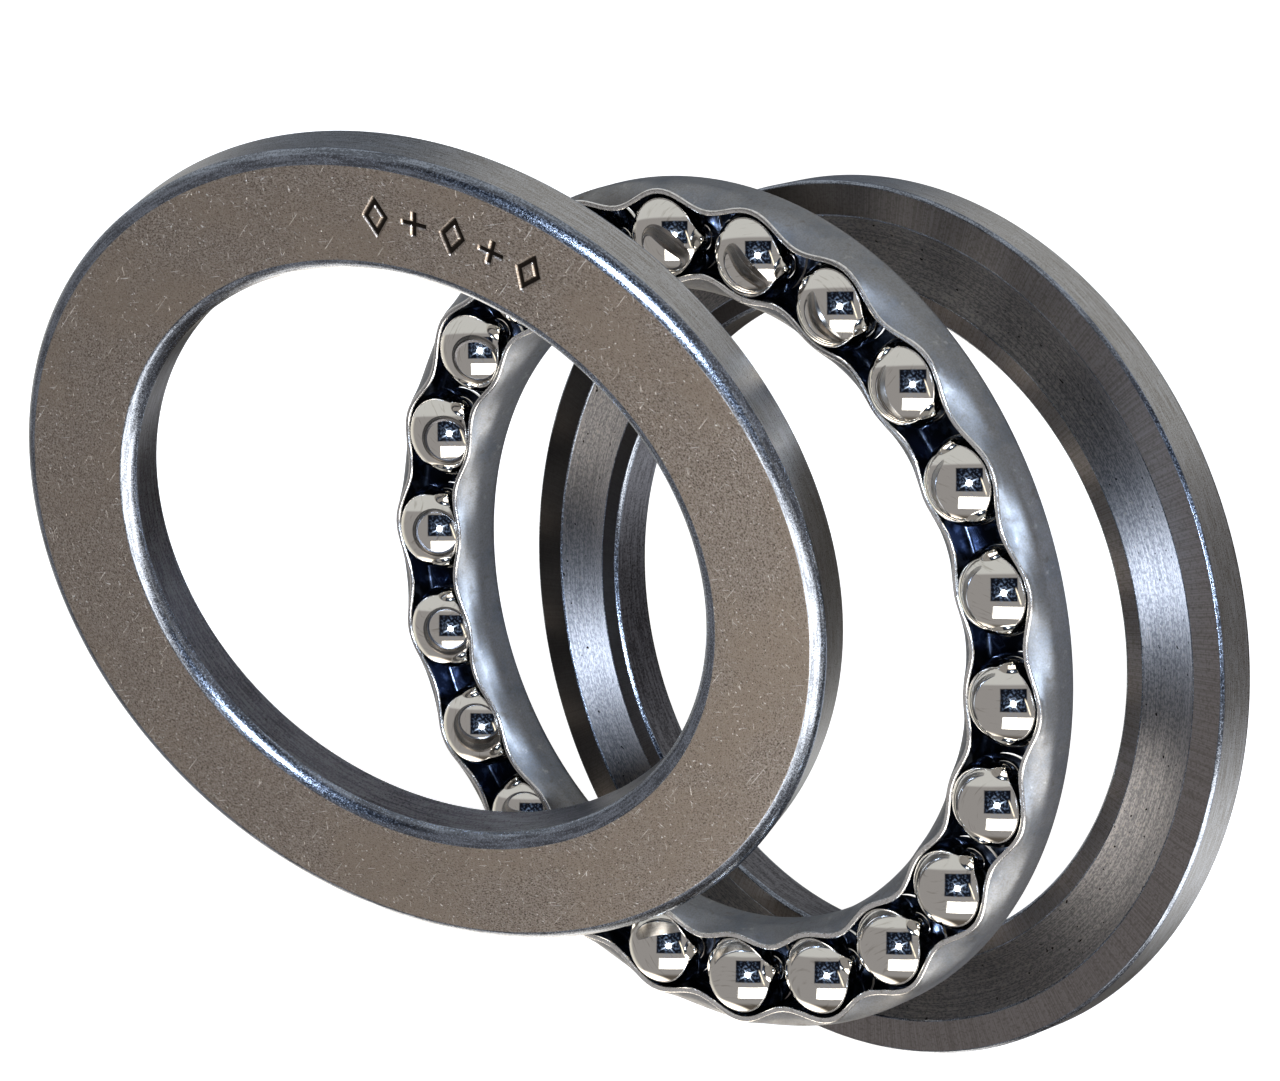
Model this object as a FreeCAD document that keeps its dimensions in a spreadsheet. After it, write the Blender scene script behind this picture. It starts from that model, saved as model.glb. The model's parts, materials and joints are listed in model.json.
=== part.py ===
import FreeCAD, Part
import math
import os
import Sketcher
from FreeCAD import Placement, Rotation, Vector

# Single-direction thrust ball bearing for a 50 mm shaft, 70 mm outside and 14 mm high when closed,
# taken apart: shaft washer, cage with its balls, and housing washer, each standing on its edge.
# The origin is the centre of the shaft washer, -Y points out of its seat face and +Z is up.

doc = FreeCAD.newDocument("thrust_ball_bearing")

# ---------------------------------------------------------------- driving dimensions, mm and degrees
DIMENSIONS = [
    # the bearing's boundary sizes
    ("bore_diameter", 50.0, "bore of the shaft washer, the size of the shaft"),
    ("outer_diameter", 70.0, "rim of both washers, the size of the housing"),
    ("housing_bore_diameter", 52.0, "bore of the housing washer, which clears the shaft"),
    ("bearing_height", 14.0, "seat face to seat face, when the bearing is closed"),
    # balls and raceways
    ("ball_diameter", 7.144, "9/32 inch ball"),
    ("ball_count", 22, "balls in the ring"),
    ("pitch_diameter", 60.0, "circle through the ball centres"),
    ("raceway_radius", 3.75, "cross-section of the raceway, 52.5 % of the ball"),
    ("raceway_depth", 0.78, "raceway below the face of the washer"),
    # washer edges
    ("seat_rounding", 0.85, "rounding of a washer's edges on its seat side"),
    ("face_chamfer", 0.55, "chamfer of a washer's edges on its raceway side"),
    # pressed cage, with heights counted from the ball centres
    ("cage_sheet", 0.45, "thickness of the pressed sheet"),
    ("cage_back", 2.05, "ball centres to the back of the web"),
    ("cage_lip", 1.85, "ball centres to the open edge"),
    ("cage_bend", 0.85, "outside radius of the channel's two bends"),
    ("channel_clearance", 0.22, "ball to channel wall"),
    ("outer_lip_clearance", 0.35, "ball to the outer lip where the lip passes it"),
    ("inner_lip_clearance", 0.16, "ball to the inner lip where the lip passes it"),
    ("outer_lip_wave", 1.2, "how far the outer lip is pressed in between two balls"),
    ("inner_lip_wave", 0.75, "how far the inner lip is pressed in between two balls"),
    ("pocket_clearance", 0.12, "ball to the rim of its hole in the web"),
    # plain marks pressed into the shaft washer's seat face
    ("mark_count", 5, "marks in the row"),
    ("mark_height", 3.4, "height of one mark"),
    ("mark_stroke", 0.4, "width of the pressed line"),
    ("mark_depth", 0.12, "depth of the pressed line"),
    ("mark_pitch", 6.2, "angle from one mark to the next"),
    ("mark_middle", 91.8, "angle of the middle mark"),
    # how the groups stand, apart, beside and behind the shaft washer
    ("cage_across", 21.78, "cage centre, sideways"),
    ("cage_stand_off", 2.015, "shaft washer's back to the plane of the balls, at the washer's side"),
    ("cage_yaw", 19.5, "cage turned about the vertical"),
    ("cage_lean", 6.2, "cage leaning back"),
    ("cage_phase", 1.77, "angle of the first ball in the cage"),
    ("housing_across", 33.04, "housing washer centre, sideways"),
    ("housing_stand_off", 4.046, "cage centre to the front of the housing washer, straight back"),
    ("housing_yaw", 20.5, "housing washer turned about the vertical"),
    ("housing_lean", 9.0, "housing washer leaning back"),
]

# sizes that follow from those above
DERIVED = [
    ("washer_height", "=(bearing_height - ball_diameter) / 2 + raceway_depth", "one washer"),
    ("ball_radius", "=ball_diameter / 2", "one ball"),
    ("pitch_radius", "=pitch_diameter / 2", "axis to ball centre"),
    ("raceway_centre", "=washer_height / 2 + raceway_radius - raceway_depth", "from mid washer"),
    ("cage_turned_back", "=(outer_diameter / 2 - cage_across) * tan(cage_yaw)", "washer's side to cage centre"),
    ("cage_behind", "=washer_height / 2 + cage_stand_off + cage_turned_back", "cage centre, behind"),
    ("housing_behind", "=cage_behind + housing_stand_off + washer_height / 2", "housing washer centre, behind"),
    ("pocket_radius", "=sqrt(ball_radius ^ 2 - (cage_back - cage_sheet) ^ 2) + pocket_clearance", "hole in the web"),
]

sizes = doc.addObject("Spreadsheet::Sheet", "sizes")
for row, (alias, content, note) in enumerate(DIMENSIONS + DERIVED, start=1):
    sizes.set(f"A{row}", alias)
    sizes.set(f"B{row}", str(content))
    sizes.set(f"C{row}", note)
    sizes.setAlias(f"B{row}", alias)
doc.recompute()


def size(alias):
    """The value of a cell, as a plain number."""
    return float(getattr(sizes, alias))


BALL_COUNT = round(size("ball_count"))
BALL_ANGLES = [size("cage_phase") + index * 360.0 / BALL_COUNT for index in range(BALL_COUNT)]


# ---------------------------------------------------------------- helpers
def new_sketch(body, name, role):
    """A sketch on one of the body's own origin planes."""
    sketch = body.newObject("Sketcher::SketchObject", name)
    plane = next(feature for feature in body.Origin.OriginFeatures if feature.Role == role)
    sketch.AttachmentSupport = [(plane, "")]
    sketch.MapMode = "FlatFace"
    return sketch


def bind(sketch, constraint, name, expression):
    """Adds a dimension to the sketch and ties it to the sheet."""
    index = sketch.addConstraint(constraint)
    sketch.renameConstraint(index, name)
    sketch.setExpression(f"Constraints.{name}", expression)


def circle_edges(shape, spots):
    """Names of the circular edges about Z at the given spots, each a radius and a height."""
    names = []
    for index, edge in enumerate(shape.Edges, start=1):
        if isinstance(edge.Curve, Part.Circle):
            radius, height = edge.Curve.Radius, edge.Curve.Center.z
            if any(math.hypot(radius - spot[0], height - spot[1]) < 1e-3 for spot in spots):
                names.append(f"Edge{index}")
    if len(names) != len(spots):
        raise RuntimeError(f"{len(spots)} circular edges expected, {len(names)} found")
    return names


def polar(radius, degrees, height=0.0):
    angle = math.radians(degrees)
    return Vector(radius * math.cos(angle), radius * math.sin(angle), height)


def standing(across, behind, yaw, lean, rim_radius, seat_depth, rounding):
    """Placement of a ring that stands on its edge. Its own +Z turns to face -Y, leans back and turns
    about the vertical. The ring rests on the rounded edge seat_depth behind its middle."""
    slope = math.radians(lean)
    reach = (rim_radius - rounding) * math.cos(slope) + (seat_depth - rounding) * math.sin(slope) + rounding
    ground = -size("outer_diameter") / 2
    turn = Rotation(Vector(0, 0, 1), -yaw) * Rotation(Vector(1, 0, 0), 90 - lean)
    return Placement(Vector(across, behind, ground + reach), turn)


# ---------------------------------------------------------------- washers
def make_washer(name, bore, raceway_side):
    """A ground ring with one raceway, on its +Z face when raceway_side is +1 and on its -Z face when -1."""
    body = doc.addObject("PartDesign::Body", name)
    body.Label = name
    inside, outside, half = size(bore) / 2, size("outer_diameter") / 2, size("washer_height") / 2

    section = new_sketch(body, f"{name}_section", "XZ_Plane")
    corners = [Vector(inside, -half), Vector(outside, -half), Vector(outside, half), Vector(inside, half)]
    for start, end in zip(corners, corners[1:] + corners[:1]):
        section.addGeometry(Part.LineSegment(start, end), False)
    for side, direction in enumerate(["Horizontal", "Vertical", "Horizontal", "Vertical"]):
        section.addConstraint(Sketcher.Constraint("Coincident", side, 2, (side + 1) % 4, 1))
        section.addConstraint(Sketcher.Constraint(direction, side))
    bind(section, Sketcher.Constraint("DistanceX", -1, 1, 0, 1, inside), "inside", f"sizes.{bore} / 2")
    bind(section, Sketcher.Constraint("DistanceX", -1, 1, 0, 2, outside), "outside", "sizes.outer_diameter / 2")
    bind(section, Sketcher.Constraint("DistanceY", 0, 1, -1, 1, half), "below", "sizes.washer_height / 2")
    bind(section, Sketcher.Constraint("DistanceY", -1, 1, 2, 1, half), "above", "sizes.washer_height / 2")

    ring = body.newObject("PartDesign::Revolution", f"{name}_ring")
    ring.Profile = section
    ring.ReferenceAxis = (section, ["V_Axis"])
    ring.Angle = 360.0
    doc.recompute()

    pitch, rise = size("pitch_radius"), size("raceway_centre")
    track = new_sketch(body, f"{name}_track", "XZ_Plane")
    circle = Part.Circle(Vector(pitch, raceway_side * rise, 0), Vector(0, 0, 1), size("raceway_radius"))
    track.addGeometry(circle, False)
    centre, origin = (0, 3), (-1, 1)
    upward = origin + centre if raceway_side > 0 else centre + origin
    bind(track, Sketcher.Constraint("Radius", 0, circle.Radius), "track_radius", "sizes.raceway_radius")
    bind(track, Sketcher.Constraint("DistanceX", *origin, *centre, pitch), "pitch", "sizes.pitch_radius")
    bind(track, Sketcher.Constraint("DistanceY", *upward, rise), "rise", "sizes.raceway_centre")

    raceway = body.newObject("PartDesign::Groove", f"{name}_raceway")
    raceway.Profile = track
    raceway.ReferenceAxis = (track, ["V_Axis"])
    raceway.Angle = 360.0
    doc.recompute()
    if raceway.Shape.Volume > ring.Shape.Volume - 1.0:
        raise RuntimeError(f"{name}: the raceway cut nothing")

    seat = -raceway_side * half
    rounding = body.newObject("PartDesign::Fillet", f"{name}_seat_edges")
    rounding.Base = (raceway, circle_edges(raceway.Shape, [(inside, seat), (outside, seat)]))
    rounding.setExpression("Radius", "sizes.seat_rounding")
    doc.recompute()

    bevel = body.newObject("PartDesign::Chamfer", f"{name}_face_edges")
    bevel.Base = (rounding, circle_edges(rounding.Shape, [(inside, -seat), (outside, -seat)]))
    bevel.setExpression("Size", "sizes.face_chamfer")
    doc.recompute()
    body.Tip = bevel
    return body


DIAMOND_SHARE, CROSS_SHARE = 0.62, 0.6  # half-width of each mark over half its height


def mark_outlines(kind):
    """Closed outlines of one pressed mark about its own centre, upright: an open diamond or a cross."""
    tall, stroke = size("mark_height") / 2, size("mark_stroke")
    if kind == "diamond":
        wide = DIAMOND_SHARE * tall
        inset = stroke * math.hypot(tall, wide) / wide
        outer = [(0, tall), (wide, 0), (0, -tall), (-wide, 0)]
        share = 1 - inset / tall
        return [outer, [(x * share, y * share) for x, y in outer]]
    arm, near = CROSS_SHARE * tall, stroke / 2
    quarter = [(arm, near), (arm, -near), (near, -near)]
    turns = [(1, 0), (0, -1), (-1, 0), (0, 1)]
    return [[(x * c - y * s, x * s + y * c) for c, s in turns for x, y in quarter]]


def press_marks(body):
    """Presses a row of plain marks into the body's +Z face, along the middle of the ring."""
    blank = body.Tip
    marks = new_sketch(body, "marks", "XY_Plane")
    marks.setExpression("AttachmentOffset.Base.z", "sizes.washer_height / 2")
    mid_radius = (size("bore_diameter") + size("outer_diameter")) / 4
    count = round(size("mark_count"))
    for index in range(count):
        angle = size("mark_middle") + (index - (count - 1) / 2) * size("mark_pitch")
        for outline in mark_outlines("cross" if index % 2 else "diamond"):
            points = [polar(mid_radius + y, angle) + polar(-x, angle + 90) for x, y in outline]
            for start, end in zip(points, points[1:] + points[:1]):
                marks.addGeometry(Part.LineSegment(start, end), False)
    press = body.newObject("PartDesign::Pocket", "marks_pressed")
    press.Profile = marks
    press.setExpression("Length", "sizes.mark_depth")
    doc.recompute()
    if press.Shape.Volume >= blank.Shape.Volume:
        raise RuntimeError("the marks cut nothing")
    body.Tip = press


shaft_washer = make_washer("shaft_washer", "bore_diameter", -1)
press_marks(shaft_washer)
shaft_washer.Placement = standing(0, 0, 0, 0, size("outer_diameter") / 2, 0, 0)

housing_washer = make_washer("housing_washer", "housing_bore_diameter", 1)
housing_washer.Placement = standing(
    size("housing_across"), size("housing_behind"), size("housing_yaw"), size("housing_lean"),
    size("outer_diameter") / 2, size("washer_height") / 2, size("seat_rounding"),
)


# ---------------------------------------------------------------- cage
# The walls close over the balls from a little above their centres, and in between them from lower down.
# Starts are shares of the lip's and of the back's distance, and the powers make the walls' curves.
OVER_BALL_START, OVER_BALL_POWER = 0.1, 1.7
BETWEEN_START, BETWEEN_POWER = 0.45, 1.4
# Heights at which the walls are given their outline, as shares of the same two distances.
BACK_LEVELS, LIP_LEVELS = [0.72, 0.45, 0.1], [0.2, 0.5, 0.77, 1.0]
WALL_POINTS = 8 * BALL_COUNT

CHANNEL_GAP = size("ball_radius") + size("channel_clearance")
LIP_SECTION = math.sqrt(size("ball_radius") ** 2 - size("cage_lip") ** 2)
CAGE_RADIUS = size("pitch_radius") + CHANNEL_GAP + size("cage_sheet")


def lip_share(height, start, power):
    """0 up to the start height, growing to 1 at the lip."""
    return max(0.0, (height - start) / (size("cage_lip") - start)) ** power


def wall_gap(height, degrees, side):
    """Ball circle to the inside of a channel wall. The wall closes over the balls towards the lip, and more
    in between them. side is outer or inner."""
    over_ball = lip_share(height, OVER_BALL_START * size("cage_lip"), OVER_BALL_POWER)
    between = lip_share(height, -BETWEEN_START * size("cage_back"), BETWEEN_POWER)
    closing = CHANNEL_GAP - LIP_SECTION - size(f"{side}_lip_clearance")
    wave = 0.5 - 0.5 * math.cos(math.radians(degrees - size("cage_phase")) * BALL_COUNT)
    return CHANNEL_GAP - closing * over_ball - size(f"{side}_lip_wave") * wave * between


def wall_loft(side, thickness, low, high):
    """Solid inside a closed, waved surface: a channel wall's inner skin, or its outer skin with the sheet's
    thickness added. low and high lengthen it past the web and the lip."""
    outward = 1 if side == "outer" else -1
    back, lip = size("cage_back"), size("cage_lip")
    levels = [-back - low] + [-share * back for share in BACK_LEVELS] + [share * lip for share in LIP_LEVELS]
    if high:
        levels.append(lip + high)
    wires = []
    for level in levels:
        points = []
        for step in range(WALL_POINTS):
            angle = size("cage_phase") + 360.0 * step / WALL_POINTS
            gap = wall_gap(min(level, lip), angle, side) + thickness
            points.append(polar(size("pitch_radius") + outward * gap, angle, level))
        curve = Part.BSplineCurve()
        steps = [float(step) for step in range(WALL_POINTS + 1)]
        curve.interpolate(Points=points, PeriodicFlag=True, Parameters=steps)
        wires.append(Part.Wire([curve.toShape()]))
    return Part.makeLoft(wires, True, False)


def level_edges(shape, level):
    """Edges that lie wholly at one height."""
    return [
        edge for edge in shape.Edges
        if abs(edge.BoundBox.ZMin - level) < 1e-4 and abs(edge.BoundBox.ZMax - level) < 1e-4
    ]


def channel_shape():
    """The pressed channel before its pockets are pierced: web at the back, two walls, open at the front."""
    sheet, back = size("cage_sheet"), size("cage_back")
    outline = wall_loft("outer", sheet, 0, 0).cut(wall_loft("inner", sheet, 1, 1))
    hollow = wall_loft("outer", 0, -sheet, 1).cut(wall_loft("inner", 0, 0, 2))
    shape = outline.cut(hollow)
    shape = shape.makeFillet(size("cage_bend"), level_edges(shape, -back))
    return shape.makeFillet(size("cage_bend") - sheet, level_edges(shape, sheet - back))


channel = doc.addObject("Part::Feature", "channel")
channel.Shape = channel_shape()

pockets = doc.addObject("Part::Compound", "pockets")
punches = []
punch_start = -size("cage_back") - size("cage_back") / 2
for index, angle in enumerate(BALL_ANGLES, start=1):
    punch = doc.addObject("Part::Cylinder", f"pocket_{index:02d}")
    punch.setExpression("Radius", "sizes.pocket_radius")
    punch.setExpression("Height", "sizes.cage_back")
    punch.Placement = Placement(polar(size("pitch_radius"), angle, punch_start), Rotation())
    punches.append(punch)
pockets.Links = punches

cage = doc.addObject("Part::Cut", "cage")
cage.Label = "cage"
cage.Base = channel
cage.Tool = pockets
cage.Placement = standing(
    size("cage_across"), size("cage_behind"), size("cage_yaw"), size("cage_lean"),
    CAGE_RADIUS, size("cage_back"), size("cage_bend"),
)


# ---------------------------------------------------------------- balls
balls = []
for index, angle in enumerate(BALL_ANGLES, start=1):
    ball = doc.addObject("Part::Sphere", f"ball_{index:02d}")
    ball.Label = f"ball_{index:02d}"
    ball.setExpression("Radius", "sizes.ball_radius")
    centre = cage.Placement.multVec(polar(size("pitch_radius"), angle))
    ball.Placement = Placement(centre, cage.Placement.Rotation)
    balls.append(ball)


# ---------------------------------------------------------------- check and write
doc.recompute()
for item in doc.Objects:
    if "Invalid" in item.State or "Error" in item.State:
        raise RuntimeError(f"{item.Name} failed: {item.State}")

os.makedirs("parts", exist_ok=True)
sub_parts = [shaft_washer, housing_washer, cage] + balls
for item in sub_parts:
    shape = item.Shape
    if shape.isNull() or not shape.isValid() or len(shape.Solids) != 1:
        raise RuntimeError(f"{item.Label}: not one valid solid")
for item in sub_parts:
    item.Shape.exportStep(f"parts/{item.Label}.step")
    print(f"{item.Label}: {item.Shape.Volume:.1f} mm3")
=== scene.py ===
import json
import math
import random

import bmesh
import bpy
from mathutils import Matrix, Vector


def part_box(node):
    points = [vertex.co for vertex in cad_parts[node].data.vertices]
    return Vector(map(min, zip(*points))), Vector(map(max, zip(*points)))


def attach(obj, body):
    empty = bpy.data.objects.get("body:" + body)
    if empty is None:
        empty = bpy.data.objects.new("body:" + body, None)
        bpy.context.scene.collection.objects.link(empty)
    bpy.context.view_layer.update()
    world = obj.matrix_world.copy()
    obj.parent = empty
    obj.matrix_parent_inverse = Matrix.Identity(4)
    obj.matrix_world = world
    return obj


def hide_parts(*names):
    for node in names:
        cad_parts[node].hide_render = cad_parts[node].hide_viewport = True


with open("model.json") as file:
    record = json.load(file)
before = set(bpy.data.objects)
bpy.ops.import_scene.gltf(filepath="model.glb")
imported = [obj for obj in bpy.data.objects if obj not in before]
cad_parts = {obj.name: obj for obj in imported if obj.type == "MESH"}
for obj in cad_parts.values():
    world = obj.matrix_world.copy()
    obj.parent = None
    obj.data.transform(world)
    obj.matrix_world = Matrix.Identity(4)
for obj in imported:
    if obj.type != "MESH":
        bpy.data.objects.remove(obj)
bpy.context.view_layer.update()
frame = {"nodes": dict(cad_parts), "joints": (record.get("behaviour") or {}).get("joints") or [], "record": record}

# A thrust ball bearing taken apart: shaft washer, cage with its balls, housing washer, each on its edge.
# The places and axes of the rings and the balls come from the frame. Lengths in the dictionaries are in mm.

mm = 0.001
scene = bpy.context.scene
joints = {joint["name"]: joint for joint in frame["joints"]}
mounts = {mount["name"]: mount for mount in frame["record"]["mounts"]}
ballNames = sorted(name for name in frame["nodes"] if name.startswith("ball_"))


def srgb(hexColour, strength=1.0):
    # sRGB hex to the linear colour that Blender works in
    channels = [int(hexColour[at:at + 2], 16) / 255 for at in (1, 3, 5)]
    linear = [c / 12.92 if c <= 0.04045 else ((c + 0.055) / 1.055) ** 2.4 for c in channels]
    return [value * strength for value in linear] + [1.0]


def addNode(tree, kind, links=None, **settings):
    # adds a node, sets its settings, and fills its inputs with values or with other nodes' outputs
    node = tree.nodes.new(kind)
    for name, value in settings.items():
        setattr(node, name, value)
    for socket, value in (links or {}).items():
        if isinstance(value, bpy.types.NodeSocket):
            tree.links.new(value, node.inputs[socket])
        else:
            node.inputs[socket].default_value = value
    return node


class Place:
    # a ring's own frame: x and y across the ring, h along its axis
    def __init__(self, centre, normal):
        self.origin = Vector(centre)
        self.normal = Vector(normal).normalized()
        self.across = Vector((-self.normal.y, self.normal.x, 0)).normalized()
        self.upward = self.normal.cross(self.across)

    def point(self, radius, angle, height):
        # radius and height in mm, angle in radians
        x, y = radius * math.cos(angle) * mm, radius * math.sin(angle) * mm
        return self.origin + self.across * x + self.upward * y + self.normal * (height * mm)


def openSide(jointName):
    # the side that faces the shaft washer is against the joint's axis
    return Place(joints[jointName]["pos_m"], [-value for value in joints[jointName]["axis"]])


shaftPlace = Place((0, 0, 0), mounts["shaft_seat"]["axis"])
housingPlace = openSide("housing_washer_spin")
cagePlace = openSide("cage_spin")

shaftLow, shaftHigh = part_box("shaft_washer")
washerRadius = (shaftHigh.z - shaftLow.z) / 2 / mm
washerHeight = (shaftHigh.y - shaftLow.y) / mm
ballLow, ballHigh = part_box(ballNames[0])
ballRadius = (ballHigh.z - ballLow.z) / 2 / mm
firstBall = Vector(joints[ballNames[0] + "_roll"]["pos_m"]) - cagePlace.origin
pitchRadius = firstBall.length / mm
ballPhase = math.atan2(firstBall.dot(cagePlace.upward), firstBall.dot(cagePlace.across))
ballStep = 2 * math.pi / len(ballNames)
boreRadius = {side: mounts[side + "_bore"]["dims"]["r_mm"] for side in ("shaft", "housing")}


stage = {
    "lens": 135.0,
    "sensorWidth": 36.0,
    "clipStart": 0.01,
    "cameraPlace": (0.1142, -0.28405, 0.21964),
    "viewRight": Vector((0.8920, 0.4227, 0.1606)),
    "viewUp": Vector((-0.3673, 0.4702, 0.8025)),
    "viewBack": Vector((0.2637, -0.7748, 0.5746)),
    "floorSize": 3.0,
    "floorColour": "#f4f4f4",
    "floorGlow": 0.78,
    "floorRoughness": 0.9,
    "backdrop": "#ffffff",
}

# What the studio puts round the object, seen as in a mirror ball: u to the right, v up, each from -1 to 1.
# Each card is centre u, v, half width, half height, turn, softness, colour, strength, and its form.
roomWall = ("#989594", 1.0)
paleRim = (0.90, 0.965, "#e9e4d8", 1.0)  # starts, is full, colour, strength
glowSpots = {"scale": 17.0, "detail": 2.0, "from": 0.50, "to": 0.66}
studioCards = [
    (0.0, 1.25, 2.0, 0.94, 0.0, 0.03, "#cacac8", 1.0, "square"),        # ceiling
    (-0.25, 1.02, 0.50, 0.24, 0.0, 0.30, "#4d5868", 1.0, "round"),      # darker corner of it
    (0.0, -0.85, 0.62, 0.09, 0.0, 0.50, "#5d564f", 1.0, "square"),      # table edge below
    (-0.35, -0.87, 0.34, 0.08, -0.3, 0.60, "#fff4e4", 3.5, "round"),    # glow low on the left
    (0.68, -0.50, 0.17, 0.22, 0.0, 0.50, "#e4e6e8", 1.8, "round"),      # pale side card
    (0.62, -0.85, 0.36, 0.17, 0.6, 0.50, "#4a443e", 1.0, "round"),      # dark corner under it
    (0.93, 0.03, 0.20, 0.50, 0.0, 0.50, "#443e36", 1.0, "round"),       # dark doorway on the right
    (-0.08, -0.015, 0.28, 0.245, 0.0, 0.05, "#10131c", 1.0, "square"),  # dark window
    (-0.07, -0.05, 0.22, 0.22, 0.0, 0.80, "#8097bd", 1.0, "mottled"),   # blue glow in it
    (-0.09, -0.085, 0.13, 0.012, 0.5, 0.90, "#cfe2ff", 3.0, "round"),   # star round the lamp
    (-0.09, -0.085, 0.10, 0.012, 2.2, 0.90, "#cfe2ff", 3.0, "round"),
    (-0.09, -0.085, 0.045, 0.045, 0.0, 0.50, "#dcebff", 150.0, "round"),  # lamp
    (0.22, -0.16, 0.165, 0.014, -1.23, 0.30, "#fff3dd", 1.6, "square"),   # edge of the window
    (0.02, -0.495, 0.31, 0.12, 0.0, 0.05, "#fffaf2", 5.0, "square"),      # white panel
]


def makeStudio():
    print("stage: camera, surroundings and floor")
    camera = bpy.data.objects.new("camera", bpy.data.cameras.new("camera"))
    camera.data.lens = stage["lens"]
    camera.data.sensor_width = stage["sensorWidth"]
    camera.data.sensor_fit = "HORIZONTAL"
    camera.data.clip_start = stage["clipStart"]
    right, up, back = (stage[key].normalized() for key in ("viewRight", "viewUp", "viewBack"))
    for row in range(3):
        for column, axis in enumerate((right, up, back)):
            camera.matrix_world[row][column] = axis[row]
        camera.matrix_world[row][3] = stage["cameraPlace"][row]
    scene.collection.objects.link(camera)
    scene.camera = camera
    scene.view_settings.view_transform = "Standard"

    world = bpy.data.worlds.new("studio")
    scene.world = world
    world.use_nodes = True
    tree = world.node_tree
    tree.nodes.clear()
    direction = addNode(tree, "ShaderNodeTexCoord").outputs["Generated"]
    halfway = addNode(tree, "ShaderNodeVectorMath", {0: direction, 1: back}, operation="ADD").outputs[0]
    halfway = addNode(tree, "ShaderNodeVectorMath", {0: halfway}, operation="NORMALIZE").outputs[0]
    u, v = (addNode(tree, "ShaderNodeVectorMath", {0: halfway, 1: axis}, operation="DOT_PRODUCT").outputs["Value"]
            for axis in (right, up))
    place = addNode(tree, "ShaderNodeCombineXYZ", {0: u, 1: v, 2: 0.0}).outputs[0]
    colour = addNode(tree, "ShaderNodeRGB").outputs[0]
    colour.default_value = srgb(*roomWall)
    far = addNode(tree, "ShaderNodeVectorMath", {0: place}, operation="LENGTH").outputs["Value"]
    edge = {"Value": far, "From Min": paleRim[0], "From Max": paleRim[1]}
    mask = addNode(tree, "ShaderNodeMapRange", edge, interpolation_type="SMOOTHSTEP").outputs[0]
    mix = {0: mask, 6: colour, 7: srgb(*paleRim[2:])}
    colour = addNode(tree, "ShaderNodeMix", mix, data_type="RGBA").outputs[2]
    links = {"Vector": place, "Scale": glowSpots["scale"], "Detail": glowSpots["detail"]}
    links = {"Value": addNode(tree, "ShaderNodeTexNoise", links).outputs[0],
             "From Min": glowSpots["from"], "From Max": glowSpots["to"]}
    speckle = addNode(tree, "ShaderNodeMapRange", links).outputs[0]
    for cu, cv, halfWidth, halfHeight, turn, soft, tone, strength, form in studioCards:
        links = {"Vector": place, "Location": (cu, cv, 0), "Rotation": (0, 0, turn),
                 "Scale": (halfWidth, halfHeight, 1)}
        offset = addNode(tree, "ShaderNodeMapping", links, vector_type="TEXTURE").outputs[0]
        if form == "square":
            size = addNode(tree, "ShaderNodeVectorMath", {0: offset}, operation="ABSOLUTE").outputs[0]
            parts = addNode(tree, "ShaderNodeSeparateXYZ", {0: size}).outputs
            far = addNode(tree, "ShaderNodeMath", {0: parts[0], 1: parts[1]}, operation="MAXIMUM").outputs[0]
        else:
            far = addNode(tree, "ShaderNodeVectorMath", {0: offset}, operation="LENGTH").outputs["Value"]
        edge = {"Value": far, "From Min": 1 + soft, "From Max": 1 - soft}
        mask = addNode(tree, "ShaderNodeMapRange", edge, interpolation_type="SMOOTHSTEP").outputs[0]
        if form == "mottled":
            mask = addNode(tree, "ShaderNodeMath", {0: mask, 1: speckle}, operation="MULTIPLY").outputs[0]
        mix = {0: mask, 6: colour, 7: srgb(tone, strength)}
        colour = addNode(tree, "ShaderNodeMix", mix, data_type="RGBA").outputs[2]
    room = addNode(tree, "ShaderNodeBackground", {"Color": colour, "Strength": 1.0})
    backdrop = addNode(tree, "ShaderNodeBackground", {"Color": srgb(stage["backdrop"]), "Strength": 1.0})
    seen = addNode(tree, "ShaderNodeLightPath").outputs["Is Camera Ray"]
    both = addNode(tree, "ShaderNodeMixShader", {0: seen, 1: room.outputs[0], 2: backdrop.outputs[0]})
    addNode(tree, "ShaderNodeOutputWorld", {"Surface": both.outputs[0]})

    half = stage["floorSize"] / 2
    ground = shaftLow.z
    mesh = bpy.data.meshes.new("floor")
    corners = [(-half, -half, ground), (half, -half, ground), (half, half, ground), (-half, half, ground)]
    mesh.from_pydata(corners, [], [(0, 1, 2, 3)])
    floor = bpy.data.objects.new("floor", mesh)
    scene.collection.objects.link(floor)
    floor.visible_glossy = False
    # Background paper, uncoated: a plain, matt white that glows a little, so that shadows stay faint.
    paper = bpy.data.materials.new("uncoatedWhitePaper")
    paper.use_nodes = True
    tree = paper.node_tree
    shader = tree.nodes["Principled BSDF"]
    shader.inputs["Base Color"].default_value = srgb(stage["floorColour"])
    shader.inputs["Roughness"].default_value = stage["floorRoughness"]
    shader.inputs["Emission Color"].default_value = srgb(stage["backdrop"])
    shader.inputs["Emission Strength"].default_value = stage["floorGlow"]
    mesh.materials.append(paper)


softEdge = {"arcStep": math.radians(9), "support": 0.05}


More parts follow.
